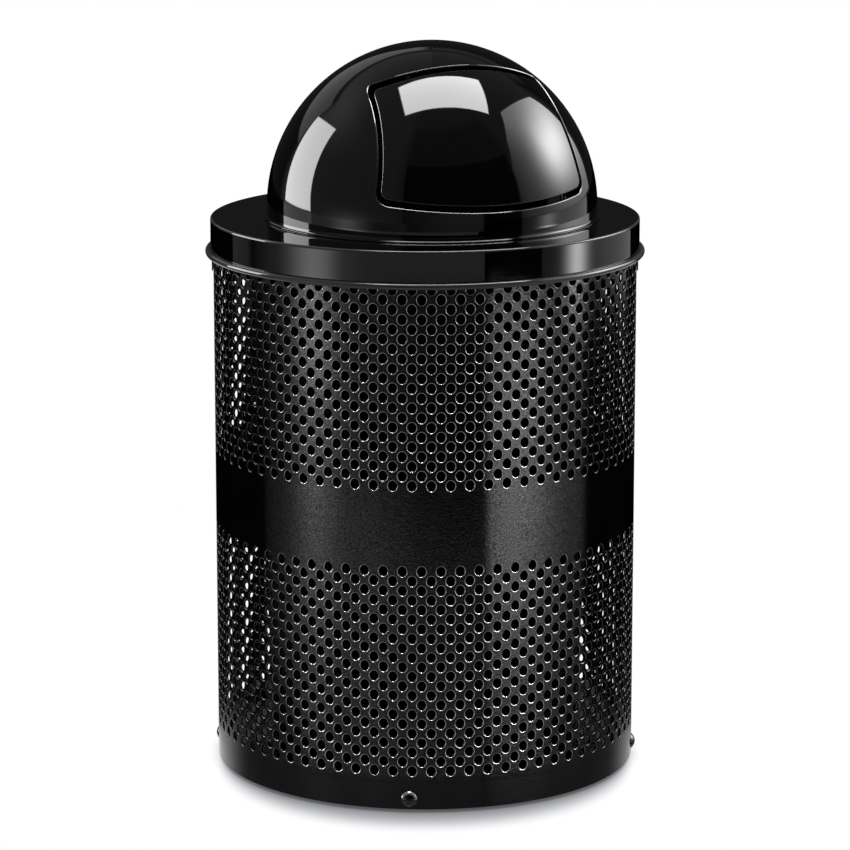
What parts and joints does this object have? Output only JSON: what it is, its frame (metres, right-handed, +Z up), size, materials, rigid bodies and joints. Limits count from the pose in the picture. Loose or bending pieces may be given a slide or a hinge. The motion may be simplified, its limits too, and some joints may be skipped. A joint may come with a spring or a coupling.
{
  "type": "dome top waste receptacle",
  "caption": "Round perforated steel waste receptacle with a lift-off lid, a glossy dome, a self-closing push door and a tapered inner liner.",
  "frame": {"origin": "on the floor under the body's axis, in the middle of the bounding box's bottom", "axes": "+Z up, the push door faces -Y"},
  "size_m": [0.5912, 0.5912, 0.9845],
  "materials": {
    "powder_black": "semi-gloss black powder coat with a fine orange-peel texture",
    "gloss_black": "high-gloss black enamel",
    "zinc": "bright zinc plate",
    "rubber": "black rubber",
    "liner_black": "matt black moulded plastic"
  },
  "bodies": {
    "body": {"body_shell": "powder_black", "top_rim_ring": "powder_black", "base_pan": "powder_black", "base_bolts": "powder_black", "base_bolt_washers": "zinc", "base_bolt_nuts": "zinc", "glide_feet": "rubber", "glide_screws": "zinc", "glide_nuts": "zinc"},
    "liner": {"liner": "liner_black"},
    "lid": {"lid_ring": "gloss_black", "lid_tabs": "gloss_black", "dome_shell": "gloss_black", "hinge_bracket_left": "gloss_black", "hinge_bracket_right": "gloss_black", "hinge_rod": "zinc", "rod_caps": "zinc", "rest_bumpers": "rubber"},
    "door": {"door_panel": "gloss_black", "door_arm_left": "gloss_black", "door_arm_right": "gloss_black", "door_stop_left": "gloss_black", "door_stop_right": "gloss_black", "spring_left": "zinc", "spring_right": "zinc"}
  },
  "joints": [
    {"name": "lid_lift", "type": "slide", "parent": "body", "child": "lid", "axis": [0, 0, 1], "range_m": [0, 1.5]},
    {"name": "liner_lift", "type": "slide", "parent": "body", "child": "liner", "axis": [0, 0, 1], "range_m": [0, 0.75]},
    {"name": "door_hinge", "type": "hinge", "parent": "lid", "child": "door", "pos_m": [0.007, -0.079, 0.9474], "axis": [1, 0, 0], "range_deg": [0, 70], "stiffness_Nm_per_rad": 0.6, "springref_deg": -114.59}
  ],
  "couplings": [
    {"joint": "liner_lift", "follows": "lid_lift", "ratio": 0.5}
  ]
}
